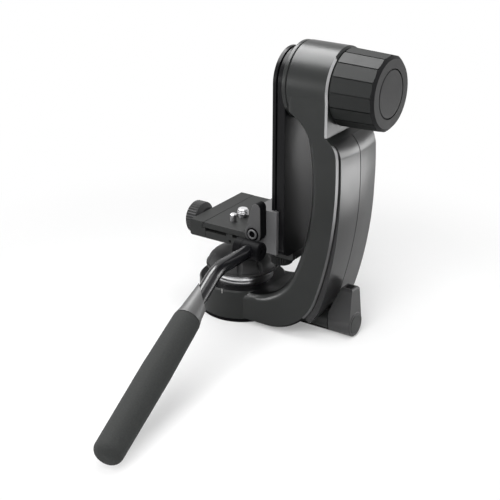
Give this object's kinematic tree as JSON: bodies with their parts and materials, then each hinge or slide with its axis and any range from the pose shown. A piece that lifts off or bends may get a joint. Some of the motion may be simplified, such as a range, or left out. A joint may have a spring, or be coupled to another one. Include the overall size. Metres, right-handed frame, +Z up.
{
  "type": "pan tilt head",
  "caption": "Hanging pan tilt head: pan base, C-shaped arm, tilt drum with knob, swing arm with a quick-release platform on a height carriage, and a bent pan bar with a grip.",
  "frame": {"origin": "on the pan axis at the foot's underside, the mouth of the tripod thread", "axes": "+Z up along the pan axis, +X along the tilt axis towards the tilt knob, -Y towards the operator and the pan bar"},
  "size_m": [0.1718, 0.3033, 0.2355],
  "materials": {
    "cast_black": "satin charcoal",
    "cover_grey": "satin charcoal, smoother than the casting",
    "rubber": "matte",
    "black_plastic": "satin",
    "anodised": "dark anodised, satin",
    "collar_grey": "matte grey",
    "gloss_black": "gloss black",
    "steel": "turned",
    "polished": "polished",
    "bronze": "turned"
  },
  "bodies": {
    "base": {"foot": "cast_black", "foot_pad": "rubber", "tripod_bush": "bronze", "pan_spindle": "steel", "spindle_screws": "steel", "thrust_washer": "bronze"},
    "pan": {"c_arm": "cast_black", "spine_cover_front": "cover_grey", "spine_cover_rear": "cover_grey", "pan_bush_lower": "bronze", "pan_bush_upper": "bronze", "accent_ring": "polished", "disc_springs": "steel", "tilt_bearing_inner": "steel", "tilt_bearing_outer": "steel", "friction_disc": "black_plastic", "brake_pad": "bronze"},
    "drag": {"drag_knob": "rubber", "drag_insert": "bronze"},
    "lock": {"lock_lever": "black_plastic", "lever_inlay": "anodised", "brake_rod": "steel"},
    "swing": {"swing_arm": "cast_black", "rail_plate": "cast_black", "tilt_shaft": "steel", "spacer_ring": "polished", "shaft_cap": "black_plastic", "rail_screws": "steel", "screw_bracket": "cast_black", "bracket_screws": "steel"},
    "tilt_drag": {"tilt_knob": "rubber", "knob_insert": "bronze", "knob_cap": "black_plastic"},
    "height_drive": {"height_knob": "anodised", "lead_screw": "steel"},
    "platform": {"carriage": "anodised", "lead_nut": "bronze", "clamp_base": "anodised", "carriage_screws": "steel", "guide_pins": "steel", "lever_screw": "steel", "bar_screw": "steel"},
    "jaw": {"moving_jaw": "anodised"},
    "clamp_drive": {"clamp_knob": "anodised", "clamp_screw": "steel"},
    "release": {"qr_lever": "black_plastic"},
    "plate": {"qr_plate": "anodised"},
    "screw": {"camera_screw": "steel"},
    "pin": {"video_pin": "steel"},
    "bar": {"bar_hub": "cast_black", "bar_tube": "gloss_black", "bar_collar": "collar_grey", "grip": "rubber"}
  },
  "joints": [
    {"name": "pan_turn", "type": "hinge", "parent": "base", "child": "pan", "pos_m": [0, 0, 0.02], "axis": [0, 0, 1], "continuous": true},
    {"name": "drag_turn", "type": "hinge", "parent": "base", "child": "drag", "pos_m": [0, 0, 0.045], "axis": [0, 0, 1], "range_deg": [-180, 180]},
    {"name": "lock_turn", "type": "hinge", "parent": "pan", "child": "lock", "pos_m": [0.095, 0, 0.011], "axis": [1, 0, 0], "range_deg": [0, 80]},
    {"name": "tilt_turn", "type": "hinge", "parent": "pan", "child": "swing", "pos_m": [0.07, 0, 0.205], "axis": [1, 0, 0], "range_deg": [-90, 25]},
    {"name": "tilt_drag_turn", "type": "hinge", "parent": "swing", "child": "tilt_drag", "pos_m": [0.11, 0, 0.205], "axis": [1, 0, 0], "range_deg": [-180, 180]},
    {"name": "height_slide", "type": "slide", "parent": "swing", "child": "platform", "axis": [0, 0, 1], "range_m": [-0.003, 0.045]},
    {"name": "height_turn", "type": "hinge", "parent": "swing", "child": "height_drive", "pos_m": [0.0386, 0, 0.05], "axis": [0, 0, 1], "range_deg": [-180, 2600]},
    {"name": "jaw_slide", "type": "slide", "parent": "platform", "child": "jaw", "axis": [-1, 0, 0], "range_m": [0, 0.005]},
    {"name": "clamp_turn", "type": "hinge", "parent": "jaw", "child": "clamp_drive", "pos_m": [-0.03, -0.013, 0.076], "axis": [1, 0, 0], "range_deg": [0, 580]},
    {"name": "release_turn", "type": "hinge", "parent": "platform", "child": "release", "pos_m": [0.0344, -0.033, 0.0846], "axis": [0, 1, 0], "range_deg": [0, 45]},
    {"name": "plate_slide", "type": "slide", "parent": "platform", "child": "plate", "axis": [0, 1, 0], "range_m": [0, 0.04]},
    {"name": "screw_turn", "type": "hinge", "parent": "plate", "child": "screw", "pos_m": [0.0052, -0.0075, 0.084], "axis": [0, 0, 1], "range_deg": [-180, 180]},
    {"name": "pin_press", "type": "slide", "parent": "plate", "child": "pin", "axis": [0, 0, 1], "range_m": [-0.0024, 0], "stiffness_N_per_m": 200, "springref_m": 0.002},
    {"name": "bar_turn", "type": "hinge", "parent": "platform", "child": "bar", "pos_m": [0.0376, -0.0456, 0.07555], "axis": [1, 0, 0], "range_deg": [-75, 0]}
  ],
  "couplings": [
    {"joint": "height_turn", "follows": "height_slide", "rad_per_m": 1000},
    {"joint": "clamp_turn", "follows": "jaw_slide", "rad_per_m": 2000}
  ]
}
